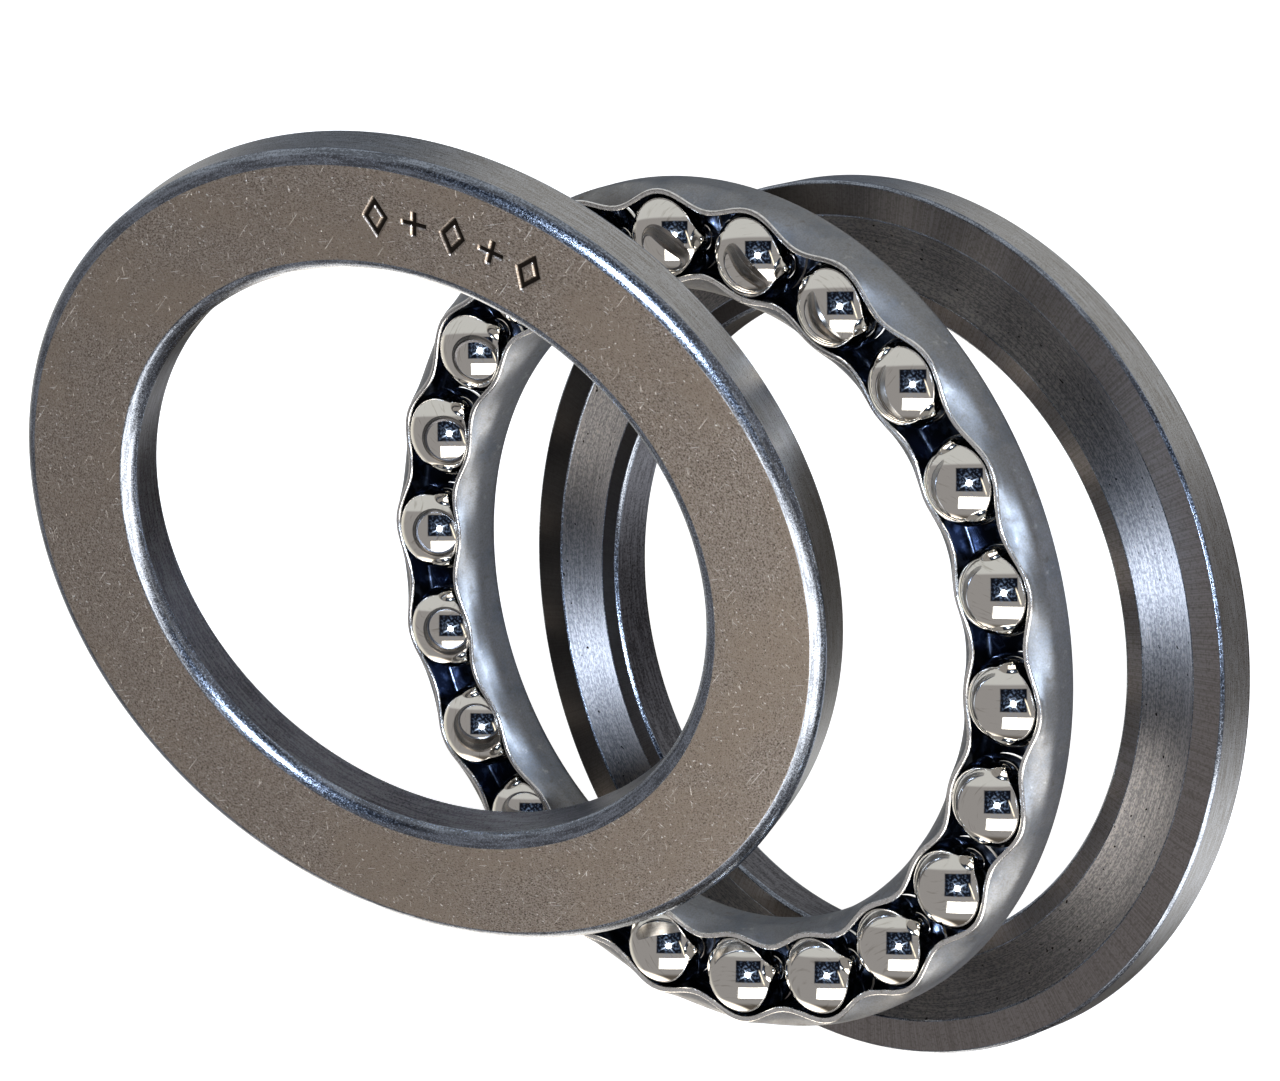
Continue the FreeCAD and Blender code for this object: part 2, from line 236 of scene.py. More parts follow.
def softLine(corners):
    # corners are radius, height, rounding. Each rounding becomes a short arc with a supporting point
    # on either side, so that the flats next to it shade flat.
    points = []
    count = len(corners)
    for index, (r, h, rounding) in enumerate(corners):
        here = Vector((r, h))
        before = (Vector(corners[index - 1][:2]) - here).normalized()
        after = (Vector(corners[(index + 1) % count][:2]) - here).normalized()
        if rounding <= 0:
            points.append((r, h))
            continue
        half = before.angle(after) / 2
        reach = rounding / math.tan(half)
        centre = here + (before + after).normalized() * (rounding / math.sin(half))
        start, end = here + before * reach, here + after * reach
        arc = math.pi - 2 * half
        steps = max(3, math.ceil(arc / softEdge["arcStep"]))
        support = min(softEdge["support"], rounding)
        points.append(tuple(start + before * support))
        first, last = start - centre, end - centre
        for step in range(steps + 1):
            share = step / steps
            spoke = (first * math.sin((1 - share) * arc) + last * math.sin(share * arc)) / math.sin(arc)
            points.append(tuple(centre + spoke))
        points.append(tuple(end + after * support))
    return points


def ringMesh(name, place, loop, angles, shift=None):
    # loop is the closed outline: radius, height, material number of the face that starts there
    mesh = bpy.data.meshes.new(name)
    verts, lay, spokes, faces, numbers = [], [], [], [], []
    length = [0.0]
    for (r0, h0, _), (r1, h1, _) in zip(loop, loop[1:]):
        length.append(length[-1] + math.hypot(r1 - r0, h1 - h0))
    count, turns = len(loop), len(angles)
    for angle in angles:
        for index, (r, h, _) in enumerate(loop):
            rise = shift(r, h, angle) if shift else 0.0
            verts.append(place.point(r, angle, h + rise))
            lay.append((r * math.cos(angle), r * math.sin(angle), length[index], -rise))
            (r0, h0, _), (r1, h1, _) = loop[index - 1], loop[(index + 1) % count]
            spokes.append(place.point(r1 - r0, angle, h1 - h0) - place.origin)
    for turn in range(turns):
        ahead = (turn + 1) % turns
        for index in range(count):
            after = (index + 1) % count
            first, second = turn * count, ahead * count
            faces.append((first + index, first + after, second + after, second + index))
            numbers.append(loop[index][2])
    mesh.from_pydata(verts, [], faces)
    mesh.polygons.foreach_set("material_index", numbers)
    mesh.polygons.foreach_set("use_smooth", [True] * len(faces))
    writeLay(mesh, lay, spokes)
    return mesh


def writeLay(mesh, lay, spokes):
    # where a point lies on its ring: x and y in mm, distance along the outline in mm, its pressed depth,
    # and the direction across the tool marks
    place = mesh.attributes.new("lay", "FLOAT_VECTOR", "POINT")
    place.data.foreach_set("vector", [value for row in lay for value in row[:3]])
    depth = mesh.attributes.new("pressed", "FLOAT", "POINT")
    depth.data.foreach_set("value", [row[3] for row in lay])
    across = mesh.attributes.new("spoke", "FLOAT_VECTOR", "POINT")
    across.data.foreach_set("vector", [value for row in spokes for value in row.normalized()])


def facingOut(mesh):
    # turns all faces of a closed mesh outward
    bm = bmesh.new()
    bm.from_mesh(mesh)
    bmesh.ops.recalc_face_normals(bm, faces=bm.faces)
    bm.to_mesh(mesh)
    bm.free()


def addPiece(name, mesh, body, nodes):
    piece = bpy.data.objects.new(name, mesh)
    scene.collection.objects.link(piece)
    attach(piece, body)
    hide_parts(*nodes)
    return piece


washer = {
    "racewayRadius": 3.75,
    "racewayDepth": 0.78,
    "racewaySteps": 40,
    "seatRounding": 0.85,   # height of the seat's broken edge
    "seatEdgeIn": 1.05,     # how far that edge comes in on the seat
    "seatEdgeTurn": math.radians(56),
    "seatEdgeSteps": 14,
    "faceChamfer": 0.2,
    "edgeBreak": 0.07,      # the light stoning that every sharp edge has had
    "trackEdge": (0.12, 0.06, 0.02, 0.008),  # three distances from the raceway's edge, then the edge's drop
    "seatSupport": 0.06,    # from an edge to the points that keep the flats beside it flat
    "rimSupport": 0.05,
    "shortFlat": 0.3,       # stretches shorter than this belong to an edge
    "level": 1e-6,
    "ringSteps": 360,
}
marks = {
    "count": 5,
    "height": 3.4,
    "stroke": 0.4,
    "depth": 0.12,
    "pitch": math.radians(6.2),
    "middle": math.radians(91.8),
    "diamondShare": 0.62,
    "crossShare": 0.6,
    "softness": 0.05,
    "gridStep": 0.07,
    "gridMargin": 0.8,      # fine grid past the marks, both sides together
    "slack": 0.2,
    "seatBand": 0.01,       # only points this near to the seat's height are pressed
    "sideMargin": math.radians(0.6),
    "plainSteps": 260,
}
seatMat, rimMat, edgeMat, trackMat, boreMat, landMat = range(6)


def washerLoop(bore, racewaySide, bandStep=None):
    # the washer's outline, going round from the bore's seat edge along the seat to the rim and back over
    # the raceway side
    half = washerHeight / 2
    seat, face = -racewaySide * half, racewaySide * half
    inward = 1 if racewaySide > 0 else -1
    rounding, chamfer, soft = washer["seatRounding"], washer["faceChamfer"], washer["edgeBreak"]
    loop = []

    def add(points, number):
        loop.extend((r, h, number) for r, h in points)

    # seat side, with rounded edges
    edgeIn, support = washer["seatEdgeIn"], washer["seatSupport"]
    curve = crownedEdge(edgeIn, rounding, washer["seatEdgeTurn"])
    add([(bore + x, seat + inward * y) for x, y in reversed(curve)], edgeMat)
    add([(bore + edgeIn + support, seat)], seatMat)
    if bandStep:
        lines = round((marks["height"] + marks["gridMargin"]) / bandStep)
        middle = (bore + washerRadius) / 2
        add([(middle + (step - lines / 2) * bandStep, seat) for step in range(lines + 1)], seatMat)
    add([(washerRadius - edgeIn - support, seat)], seatMat)
    add([(washerRadius - x, seat + inward * y) for x, y in curve], edgeMat)
    # rim, chamfer and raceway side
    chamferStart = (washerRadius, face - inward * chamfer, soft)
    chamferEnd = (washerRadius - chamfer, face, soft)
    add([(washerRadius, seat + inward * (rounding + washer["rimSupport"]))], rimMat)
    corner = [(washerRadius, seat, 0), chamferStart, chamferEnd, (pitchRadius, face, 0)]
    line = softLine(corner)
    add([(r, h) for r, h in line if abs(h - seat) > rounding and r > pitchRadius], edgeMat)
    centreHeight = face + inward * (washer["racewayRadius"] - washer["racewayDepth"])
    spread = math.acos((washer["racewayRadius"] - washer["racewayDepth"]) / washer["racewayRadius"])
    reach = washer["racewayRadius"] * math.sin(spread)
    far, near, nearest, drop = washer["trackEdge"]
    add([(pitchRadius + reach + far, face)], landMat)
    add([(pitchRadius + reach + near, face), (pitchRadius + reach + nearest, face - inward * drop)], edgeMat)
    steps = washer["racewaySteps"]
    track = []
    for step in range(1, steps):
        angle = spread * (1 - 2 * step / steps)
        track.append((pitchRadius + washer["racewayRadius"] * math.sin(angle),
                      centreHeight - inward * washer["racewayRadius"] * math.cos(angle)))
    add(track, trackMat)
    add([(pitchRadius - reach - nearest, face - inward * drop), (pitchRadius - reach - near, face)], edgeMat)
    add([(pitchRadius - reach - far, face)], landMat)
    chamferStart = (bore + chamfer, face, soft)
    chamferEnd = (bore, face - inward * chamfer, soft)
    corner = [(pitchRadius, face, 0), chamferStart, chamferEnd, (bore, seat, 0)]
    line = softLine(corner)
    add([(r, h) for r, h in line if abs(h - seat) > rounding and r < pitchRadius], edgeMat)
    add([(bore, seat + inward * (rounding + washer["rimSupport"]))], edgeMat)
    return labelFlats(loop, bore, seat, face)


def crownedEdge(wide, tall, turn):
    # a broken edge with a slightly crowned face: offsets from the corner, starting on the flat side
    chord = Vector((-wide, tall))
    radius = chord.length / 2 / math.sin(turn / 2)
    outward = Vector((-tall, -wide)).normalized()
    middle = Vector((wide, 0)) + chord / 2 - outward * radius * math.cos(turn / 2)
    along = chord.normalized()
    points = [Vector((wide, 0))]
    steps = washer["seatEdgeSteps"]
    for step in range(1, steps):
        spread = turn * (step / steps - 0.5)
        points.append(middle + outward * radius * math.cos(spread) + along * radius * math.sin(spread))
    return [tuple(point) for point in points + [Vector((0, tall))]]


def labelFlats(loop, bore, seat, face):
    # gives each stretch between two points the finish of the surface it lies on
    named = []
    for index, (r, h, number) in enumerate(loop):
        nextR, nextH, _ = loop[(index + 1) % len(loop)]
        longEnough = math.hypot(nextR - r, nextH - h) > washer["shortFlat"]
        if r == nextR == washerRadius and longEnough:
            number = rimMat
        elif r == nextR == bore and longEnough:
            number = boreMat
        elif max(abs(h - face), abs(nextH - face)) < washer["level"] and longEnough:
            number = landMat
        named.append((r, h, number))
    return named


def markDepth(radius, height, angle):
    # how deep the seat is pressed here: a row of open diamonds and crosses
    tall, stroke = marks["height"] / 2, marks["stroke"]
    middle = (boreRadius["shaft"] + washerRadius) / 2
    if abs(radius - middle) > tall + marks["slack"] or height < washerHeight / 2 - marks["seatBand"]:
        return 0.0
    deepest = 0.0
    for index in range(marks["count"]):
        turn = angle - marks["middle"] - (index - (marks["count"] - 1) / 2) * marks["pitch"]
        if abs(turn) > marks["pitch"] / 2:
            continue
        across, upward = abs(radius * math.sin(turn)), abs(radius * math.cos(turn) - middle)
        if index % 2:
            arm = marks["crossShare"] * tall
            bars = [max(across - arm, upward - stroke / 2), max(upward - arm, across - stroke / 2)]
            outside = min(bars)
        else:
            wide = marks["diamondShare"] * tall
            line = (across * tall + upward * wide - wide * tall) / math.hypot(tall, wide)
            outside = max(line, -line - stroke)
        share = min(1.0, max(0.0, 0.5 - outside / (2 * marks["softness"])))
        deepest = max(deepest, marks["depth"] * share * share * (3 - 2 * share))
    return -deepest


def evenAngles(count):
    return [2 * math.pi * step / count for step in range(count)]


def markAngles():
    # fine steps where the marks are, plain ones elsewhere
    reach = marks["pitch"] * marks["count"] / 2 + marks["sideMargin"]
    fine = marks["gridStep"] / pitchRadius
    start, end = marks["middle"] - reach, marks["middle"] + reach
    steps = round((end - start) / fine)
    plain = marks["plainSteps"]
    rest = [end + (2 * math.pi - (end - start)) * step / plain for step in range(1, plain)]
    return [start + (end - start) * step / steps for step in range(steps + 1)] + rest


def makeWashers():
    print("washers")
    finishes = washerFinishes()
    loop = washerLoop(boreRadius["shaft"], -1, marks["gridStep"])
    mesh = ringMesh("shaftWasher", shaftPlace, loop, markAngles(), markDepth)
    facingOut(mesh)
    shaft = addPiece("shaft_washer_ground", mesh, "shaft_washer", ["shaft_washer"])
    loop = washerLoop(boreRadius["housing"], 1)
    mesh = ringMesh("housingWasher", housingPlace, loop, evenAngles(washer["ringSteps"]))
    facingOut(mesh)
    housing = addPiece("housing_washer_ground", mesh, "housing_washer", ["housing_washer"])
    for piece in (shaft, housing):
        for finish in finishes:
            piece.data.materials.append(finish)


cage = {
    "sheet": 0.45,
    "back": 2.05,
    "lip": 1.85,
    "bend": 0.85,
    "channelClearance": 0.22,
    "lipClearance": {"outer": 0.35, "inner": 0.16},
    "lipWave": {"outer": 1.2, "inner": 0.75},
    "pocketClearance": 0.12,
    "overBall": (0.1, 1.7),     # where the closing starts, as a share of the lip's height, and its power
    "between": (-0.25, 1.3),    # the same between the balls, as a share of the back's height, downward
    "lipRounding": 0.15,
    "columns": 16,          # for each ball
    "wallRows": 14,
    "bendStep": 9,          # degrees
    "lipStep": 15,
    "webRows": 8,
    "webRings": (0.0, 0.12, 0.4, 1.0),
    "layStarts": {"outer": 0.0, "inner": 40.0, "web": 20.0},  # keeps the patterns of the three parts apart
    "weld": 2e-6,           # metres
    "crease": math.radians(35),
}
skinMat, channelMat, lipMat = range(3)


def lipShare(height, start, power):
    return max(0.0, (height - start) / (cage["lip"] - start)) ** power


def wallGap(height, angle, side):
    # ball circle to the inside of a channel wall, which closes over the balls and more so between them
    gap = ballRadius + cage["channelClearance"]
    section = math.sqrt(ballRadius ** 2 - cage["lip"] ** 2)
    overBall = lipShare(height, cage["overBall"][0] * cage["lip"], cage["overBall"][1])
    between = lipShare(height, -cage["between"][0] * cage["back"], cage["between"][1])
    closing = gap - section - cage["lipClearance"][side]
    wave = 0.5 - 0.5 * math.cos((angle - ballPhase) * len(ballNames))
    return gap - closing * overBall - cage["lipWave"][side] * wave * between


def wallLine(angle, side):
    # outline of one wall from the web's outside round the bend, up to the lip and back down inside
    sheet, back, lip, bend = (cage[key] for key in ("sheet", "back", "lip", "bend"))
    soft = cage["lipRounding"]
    gap = ballRadius + cage["channelClearance"]
    pivot, low = gap + sheet - bend, bend - back
    turn = [math.radians(degrees) for degrees in range(90, -1, -cage["bendStep"])]
    rows, lipStep = cage["wallRows"], cage["lipStep"]
    rise = [low + (lip - soft - low) * step / rows for step in range(1, rows + 1)]
    line = [(pivot + bend * math.cos(a), low - bend * math.sin(a), skinMat) for a in turn]
    line += [(wallGap(h, angle, side) + sheet, h, skinMat) for h in rise[:-1]]
    top = wallGap(lip, angle, side)
    for degrees in range(0, 91, lipStep):
        a = math.radians(degrees)
        line.append((top + sheet - soft * (1 - math.cos(a)), lip - soft * (1 - math.sin(a)), lipMat))
    for degrees in range(90, -1, -lipStep):
        a = math.radians(degrees)
        line.append((top + soft * (1 - math.cos(a)), lip - soft * (1 - math.sin(a)), lipMat))
    line[-1] = (line[-1][0], line[-1][1], channelMat)
    line += [(wallGap(h, angle, side), h, channelMat) for h in reversed(rise[:-1])]
    line += [(pivot + (bend - sheet) * math.cos(a), low - (bend - sheet) * math.sin(a), channelMat)
             for a in reversed(turn)]
    return line


def makeCage():
    print("cage")
    sheet, back, bend = cage["sheet"], cage["back"], cage["bend"]
    columns = cage["columns"] * len(ballNames)
    angles = [ballPhase + 2 * math.pi * (step - cage["columns"] / 2) / columns for step in range(columns)]
    verts, lay, spokes, faces, numbers = [], [], [], [], []

    def addPoint(radius, angle, height, along):
        verts.append(cagePlace.point(radius, angle, height))
        lay.append((radius * math.cos(angle), radius * math.sin(angle), along, 0.0))
        spokes.append(cagePlace.normal.copy())
        return len(verts) - 1

    for side, outward in (("outer", 1), ("inner", -1)):
        strips = []
        for angle in angles:
            along, strip, last = cage["layStarts"][side], [], None
            for gap, height, number in wallLine(angle, side):
                if last:
                    along += math.hypot(gap - last[0], height - last[1])
                strip.append((addPoint(pitchRadius + outward * gap, angle, height, along), number))
                last = (gap, height)
            strips.append(strip)
        for first, second in zip(strips, strips[1:] + strips[:1]):
            for index in range(len(first) - 1):
                faces.append((first[index][0], first[index + 1][0], second[index + 1][0], second[index][0]))
                numbers.append(first[index][1])

    # the web: round each pocket, rings of points grow from the hole to the sector's outline
    half = ballRadius + cage["channelClearance"] + sheet - bend
    pocket = math.sqrt(ballRadius ** 2 - (back - sheet) ** 2) + cage["pocketClearance"]
    rows, wide = cage["webRows"], cage["columns"]
    for number in range(len(ballNames)):
        centre = ballPhase + number * ballStep
        outline = [(pitchRadius + half, (step / wide - 0.5) * ballStep) for step in range(wide)]
        outline += [(pitchRadius + half - 2 * half * step / rows, 0.5 * ballStep) for step in range(rows)]
        outline += [(pitchRadius - half, (0.5 - step / wide) * ballStep) for step in range(wide)]
        outline += [(pitchRadius - half + 2 * half * step / rows, -0.5 * ballStep) for step in range(rows)]
        rings = {}
        for height, finish in ((-back, skinMat), (sheet - back, channelMat)):
            grid = []
            for share in cage["webRings"]:
                ring = []
                for radius, turn in outline:
                    x, y = radius * math.cos(turn) - pitchRadius, radius * math.sin(turn)
                    away = math.hypot(x, y)
                    length = pocket + (away - pocket) * share
                    x, y = pitchRadius + x / away * length, y / away * length
                    turn = centre + math.atan2(y, x)
                    ring.append(addPoint(math.hypot(x, y), turn, height, cage["layStarts"]["web"]))
                grid.append(ring)
            for inner, outer in zip(grid, grid[1:]):
                for at in range(len(ring)):
                    following = (at + 1) % len(ring)
                    faces.append((inner[at], inner[following], outer[following], outer[at]))
                    numbers.append(finish)
            rings[finish] = grid[0]
        for at in range(len(outline)):
            following = (at + 1) % len(outline)
            under, over = rings[skinMat], rings[channelMat]
            faces.append((under[at], under[following], over[following], over[at]))
            numbers.append(lipMat)

    mesh = bpy.data.meshes.new("cage")
    mesh.from_pydata(verts, [], faces)
    mesh.polygons.foreach_set("material_index", numbers)
    mesh.polygons.foreach_set("use_smooth", [True] * len(faces))
    writeLay(mesh, lay, spokes)
    bm = bmesh.new()
    bm.from_mesh(mesh)
    bmesh.ops.remove_doubles(bm, verts=bm.verts, dist=cage["weld"])
    bmesh.ops.recalc_face_normals(bm, faces=bm.faces)
    for edge in bm.edges:
        if len(edge.link_faces) == 2 and edge.calc_face_angle() > cage["crease"]:
            edge.smooth = False
    print("  open edges:", sum(1 for edge in bm.edges if len(edge.link_faces) != 2))
    bm.to_mesh(mesh)
    bm.free()
    piece = addPiece("cage_pressed", mesh, "cage", ["cage"])
    for finish in cageFinishes():
        piece.data.materials.append(finish)


ballLook = {"facets": 28, "seed": 7}


def makeBalls():
    print("balls")
    random.seed(ballLook["seed"])
    mesh = bpy.data.meshes.new("ball")
    bm = bmesh.new()
    bmesh.ops.create_cube(bm, size=2.0)
    bmesh.ops.subdivide_edges(bm, edges=bm.edges, cuts=ballLook["facets"] - 1, use_grid_fill=True)
    for vert in bm.verts:
        # even out the cube's grid before it is blown up to a ball
        spread = Vector([math.tan(value * math.pi / 4) for value in vert.co])
        vert.co = spread.normalized() * ballRadius * mm
    for face in bm.faces:
        face.smooth = True
    bm.to_mesh(mesh)
    bm.free()
    mesh.materials.append(makeBallSteel())
    for name in ballNames:
        piece = bpy.data.objects.new(name + "_lapped", mesh)
        piece.rotation_euler = [random.uniform(0, 2 * math.pi) for _ in range(3)]
        piece.location = joints[name + "_roll"]["pos_m"]
        scene.collection.objects.link(piece)
        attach(piece, name)
        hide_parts(name)


class Finish:
    # a metal finish in the making: its material, its node tree, its shader, and the place on the ring in mm
    def __init__(self, name, look):
        self.material = bpy.data.materials.new(name)
        self.material.use_nodes = True
        self.tree = self.material.node_tree
        self.shader = self.tree.nodes["Principled BSDF"]
        self.shader.inputs["Metallic"].default_value = 1.0
        self.shader.inputs["Base Color"].default_value = srgb(look["colour"])
        self.shader.inputs["Roughness"].default_value = look["roughness"]
        self.lay = addNode(self.tree, "ShaderNodeAttribute", attribute_name="lay").outputs["Vector"]

    def pattern(self, size, detail=2.0, harshness=0.5, turn=0.0):
        # an irregular pattern; size is its features' length in mm along x, along y and along the outline
        links = {"Vector": self.lay, "Rotation": (0, 0, turn), "Scale": size}
        placed = addNode(self.tree, "ShaderNodeMapping", links, vector_type="TEXTURE").outputs[0]
        links = {"Vector": placed, "Scale": 1.0, "Detail": detail, "Roughness": harshness}
        return addNode(self.tree, "ShaderNodeTexNoise", links).outputs[0]

    def tint(self, value, low, high, colour, amount=1.0):
        # lays a colour over the finish as the value goes from low to high, and gives back how much of it
        links = {"Value": value, "From Min": low, "From Max": high, "To Max": amount}
        where = addNode(self.tree, "ShaderNodeMapRange", links, interpolation_type="SMOOTHSTEP").outputs[0]
        socket = self.shader.inputs["Base Color"]
        under = socket.links[0].from_socket if socket.links else list(socket.default_value)
        links = {0: where, 6: under, 7: srgb(colour)}
        mixed = addNode(self.tree, "ShaderNodeMix", links, data_type="RGBA").outputs[2]
        self.tree.links.new(mixed, socket)
        return where

    def roughen(self, value, smooth, rough):
        # the roughness follows the value's middle range
        links = {"Value": value, "From Min": 0.3, "From Max": 0.7, "To Min": smooth, "To Max": rough}
        result = addNode(self.tree, "ShaderNodeMapRange", links).outputs[0]
        self.tree.links.new(result, self.shader.inputs["Roughness"])

    def emboss(self, height, strength, depth):
        # depth in mm
        links = {"Height": height, "Strength": strength, "Distance": depth * mm}
        bump = addNode(self.tree, "ShaderNodeBump", links)
        self.tree.links.new(bump.outputs[0], self.shader.inputs["Normal"])

    def drawOut(self, amount):
        # highlights are drawn out across the tool marks
        spoke = addNode(self.tree, "ShaderNodeAttribute", attribute_name="spoke").outputs["Vector"]
        turned = addNode(self.tree, "ShaderNodeVectorTransform", {0: spoke}, vector_type="VECTOR",
                         convert_from="OBJECT", convert_to="WORLD").outputs[0]
        self.tree.links.new(turned, self.shader.inputs["Tangent"])
        self.shader.inputs["Anisotropic"].default_value = amount


# Bearing steel, hardened and surface ground: a warm grey, dull face with a fine even grain. A few handling
# scratches and specks catch the light, and the pressed marks are darkened with their depth as painted shade.
groundSteel = {
    "colour": "#beb4ac", "dull": "#857a6f", "stain": "#aa9d90", "scratch": "#ffffff", "mark": "#2a2521",
    "roughness": 0.30, "grain": 0.17, "cloud": 9.0, "bump": 0.45, "relief": 0.02, "speck": (0.22, 0.22, 1.0),
    # each set of scratches: turn, length in mm, rarity
    "scratches": ((0.5, 1.6, 0.745), (1.9, 1.2, 0.75), (2.7, 0.9, 0.745), (1.2, 3.4, 0.76)),
    "scratchWidth": 0.11, "scratchSpacing": 6.0,
}


def makeGroundSteel():
    look = groundSteel
    finish = Finish("surfaceGroundSteel", look)
    fine = finish.pattern([look["grain"]] * 3, 3.0, 0.7)
    cloud = finish.pattern([look["cloud"]] * 3, 3.0)
    finish.tint(fine, 0.62, 0.40, look["dull"], 0.9)
    finish.tint(cloud, 0.42, 0.68, look["stain"], 0.7)
    height = fine
    for turn, length, rarity in look["scratches"]:
        lines = finish.pattern((length, look["scratchWidth"], look["scratchSpacing"]), 1.0, turn=turn)
        scratch = finish.tint(lines, rarity, rarity + 0.03, look["scratch"], 0.8)
        links = {0: height, 1: scratch}
        height = addNode(finish.tree, "ShaderNodeMath", links, operation="SUBTRACT").outputs[0]
    specks = finish.pattern(look["speck"], 0.0)
    finish.tint(specks, 0.78, 0.83, look["scratch"])
    pressed = addNode(finish.tree, "ShaderNodeAttribute", attribute_name="pressed").outputs["Fac"]
    # painted shade: the stamps darken with their pressed depth
    finish.tint(pressed, 0.4 * marks["depth"], 0.95 * marks["depth"], look["mark"])
    finish.roughen(fine, look["roughness"] - 0.06, look["roughness"] + 0.08)
    finish.emboss(height, look["bump"], look["relief"])
    return finish.material


# Turned and stoned steel: fine rings round the piece, grey on the rim, a coarser sparkle on the broken edges,
# tinted blue as a painted reflection, and darker in the bore. Real rings are too fine to see, so these are drawn
# coarser.
turnedSteel = {"ring": 2.9, "relief": 0.015, "stretch": 0.35}
turnedLooks = {
    "turnedRimSteel": {
        "colour": "#c4c5c8", "dark": "#8d877f", "roughness": 0.33, "pitch": 0.10, "bump": 0.25,
    },
    # painted reflection: the edges' blue tint stands for the blue light they reflect
    "stonedEdgeSteel": {
        "colour": "#a5aebd", "dark": "#50545c", "roughness": 0.20, "pitch": 0.18, "bump": 0.6,
    },
    "boredSteel": {
        "colour": "#74747a", "dark": "#3b3a3e", "roughness": 0.34, "pitch": 0.20, "bump": 0.35,
    },
}


def makeTurnedSteel(name):
    look = turnedLooks[name]
    finish = Finish(name, look)
    rings = finish.pattern((turnedSteel["ring"], turnedSteel["ring"], look["pitch"]), 3.0, 0.6)
    speckle = finish.pattern([look["pitch"] * 0.9] * 3, 2.0, 0.7)
    both = addNode(finish.tree, "ShaderNodeMath", {0: rings, 1: speckle}, operation="ADD").outputs[0]
    finish.tint(both, 1.20, 0.80, look["dark"], 0.85)
    finish.roughen(speckle, look["roughness"] - 0.08, look["roughness"] + 0.12)
    finish.emboss(both, look["bump"], turnedSteel["relief"])
    finish.drawOut(turnedSteel["stretch"])
    return finish.material


# Honed raceway steel: dark grey with fine rings, which draw each highlight out across the track. Here and
# there a pit or a worn, warmer spot. Honing marks are too fine to see, so the rings are drawn coarser.
trackSteel = {
    "colour": "#aeabab", "dark": "#5c5d62", "warm": "#b3a998", "pit": "#1e1b19", "roughness": 0.54,
    "ring": (8.0, 8.0, 0.09), "speckle": (0.28, 0.28, 0.16), "pitSize": (0.40, 0.40, 0.32), "bump": 0.2,
    "relief": 0.015, "stretch": 1.0,
}


def makeTrackSteel():
    look = trackSteel
    finish = Finish("honedTrackSteel", look)
    rings = finish.pattern(look["ring"], 3.0, 0.65)
    speckle = finish.pattern(look["speckle"], 2.0, 0.7)
    pits = finish.pattern(look["pitSize"], 0.0)
    finish.tint(rings, 0.64, 0.36, look["dark"], 0.55)
    finish.tint(speckle, 0.56, 0.40, look["dark"], 0.6)
    finish.tint(speckle, 0.55, 0.80, look["warm"], 0.6)
    finish.tint(pits, 0.79, 0.83, look["pit"])
    finish.emboss(speckle, look["bump"], look["relief"])
    finish.drawOut(look["stretch"])
    return finish.material


# Turned shoulder steel beside the raceway: brown-grey with fine lines across the shoulder, drawn coarser than
# the real grit's, and darker along one side of the ring: painted shade for the dark parts it faces there.
landSteel = {
    "colour": "#9c9694", "dark": "#6f6863", "oil": "#2f2d2d", "roughness": 0.36, "speckle": 0.25, "bump": 0.2,
    "line": 0.0035,             # width of a line, as a share of its distance from the axis
    "oilEdge": (-4.0, -24.0),   # where the painted shade begins and is full, in mm across the ring
    "relief": 0.015,
}


def makeLandSteel():
    look = landSteel
    finish = Finish("turnedLandSteel", look)
    links = {0: finish.lay, 1: (1, 1, 0)}
    flat = addNode(finish.tree, "ShaderNodeVectorMath", links, operation="MULTIPLY").outputs[0]
    heading = addNode(finish.tree, "ShaderNodeVectorMath", {0: flat}, operation="NORMALIZE").outputs[0]
    links = {"Vector": heading, "Scale": 1 / look["line"], "Detail": 2.0}
    cross = addNode(finish.tree, "ShaderNodeTexNoise", links).outputs[0]
    speckle = finish.pattern([look["speckle"]] * 3, 2.0, 0.6)
    finish.tint(cross, 0.42, 0.62, look["dark"], 0.45)
    finish.tint(speckle, 0.45, 0.70, look["dark"], 0.6)
    across = addNode(finish.tree, "ShaderNodeSeparateXYZ", {0: finish.lay}).outputs[0]
    # painted shade: the land darkens towards one side of the ring
    finish.tint(across, *look["oilEdge"], look["oil"], 0.9)
    finish.emboss(speckle, look["bump"], look["relief"])
    return finish.material


def washerFinishes():
    return [makeGroundSteel(), makeTurnedSteel("turnedRimSteel"), makeTurnedSteel("stonedEdgeSteel"),
            makeTrackSteel(), makeTurnedSteel("boredSteel"), makeLandSteel()]


# Cold-rolled strip, deep-drawn: satin grey, mottled with faint blue and brown stains and a few rubbed spots.
sheetSteel = {
    "colour": "#999b9e", "blue": "#7d848e", "brown": "#7d756c", "rubbed": "#c6c7c8", "roughness": 0.54,
    "cloud": 3.0, "spot": 0.9, "grain": 0.16, "bump": 0.25, "relief": 0.02,
}
# The inside of the channel: the same strip, painted dark for the shade inside the channel, with blue patches of
# painted reflection.
channelSteel = {"colour": "#2e3442", "light": "#66728a", "roughness": 0.28, "cloud": 1.3}
# The sheared edge of the lip: bare metal with a slight drag, made full white so that it shows as a bright line,
# partly a painted highlight.
lipSteel = {"colour": "#ffffff", "drag": "#c9c5be", "roughness": 0.20, "grain": 0.33}


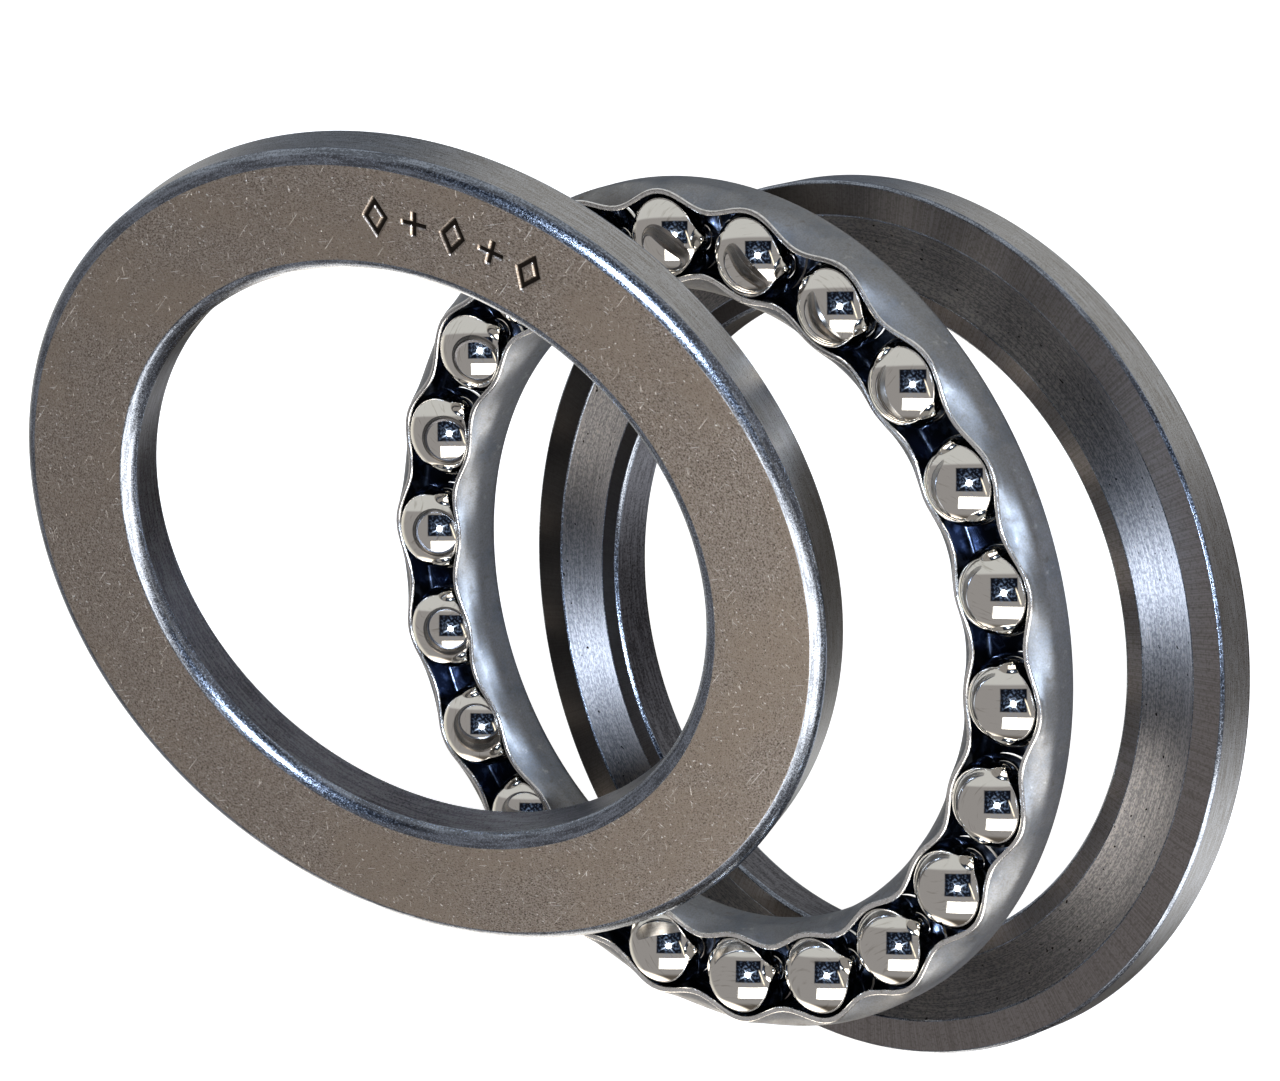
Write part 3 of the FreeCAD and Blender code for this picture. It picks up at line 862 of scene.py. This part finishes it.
def makeSheetSteel():
    look = sheetSteel
    finish = Finish("drawnSheetSteel", look)
    cloud = finish.pattern([look["cloud"]] * 3, 4.0, 0.6)
    spot = finish.pattern([look["spot"]] * 3, 3.0, 0.6)
    grain = finish.pattern([look["grain"]] * 3, 2.0, 0.6)
    finish.tint(cloud, 0.46, 0.70, look["blue"], 0.6)
    finish.tint(spot, 0.58, 0.76, look["brown"], 0.6)
    finish.tint(spot, 0.38, 0.24, look["rubbed"], 0.6)
    finish.tint(grain, 0.60, 0.36, look["brown"], 0.35)
    finish.roughen(spot, look["roughness"] - 0.05, look["roughness"] + 0.08)
    finish.emboss(grain, look["bump"], look["relief"])
    return finish.material


def makeChannelSteel():
    look = channelSteel
    finish = Finish("oiledChannelSteel", look)
    # painted reflection: blue patches over the channel's painted shade
    finish.tint(finish.pattern([look["cloud"]] * 3, 3.0, 0.6), 0.48, 0.66, look["light"], 0.9)
    return finish.material


def makeLipSteel():
    look = lipSteel
    # its full white is partly a painted highlight on the lip's edge
    finish = Finish("shearedLipSteel", look)
    grain = finish.pattern([look["grain"]] * 3, 2.0, 0.6)
    finish.tint(grain, 0.5, 0.7, look["drag"], 0.8)
    finish.roughen(grain, look["roughness"] - 0.06, look["roughness"] + 0.14)
    return finish.material


def cageFinishes():
    return [makeSheetSteel(), makeChannelSteel(), makeLipSteel()]


# Chrome steel balls, lapped to a mirror: clear reflections, with hair-fine handling marks.
ballSteel = {"colour": "#f0eee9", "worn": "#b9b4aa", "roughness": 0.03, "streak": (1.65, 1.65, 0.2)}


def makeBallSteel():
    look = ballSteel
    finish = Finish("lappedBallSteel", look)
    place = addNode(finish.tree, "ShaderNodeTexCoord").outputs["Object"]
    links = {"Vector": place, "Scale": [length * mm for length in look["streak"]]}
    placed = addNode(finish.tree, "ShaderNodeMapping", links, vector_type="TEXTURE").outputs[0]
    links = {"Vector": placed, "Scale": 1.0, "Detail": 3.0}
    streak = addNode(finish.tree, "ShaderNodeTexNoise", links).outputs[0]
    finish.tint(streak, 0.56, 0.76, look["worn"], 0.55)
    finish.roughen(streak, look["roughness"] - 0.02, look["roughness"] + 0.06)
    return finish.material


makeStudio()
makeWashers()
makeCage()
makeBalls()
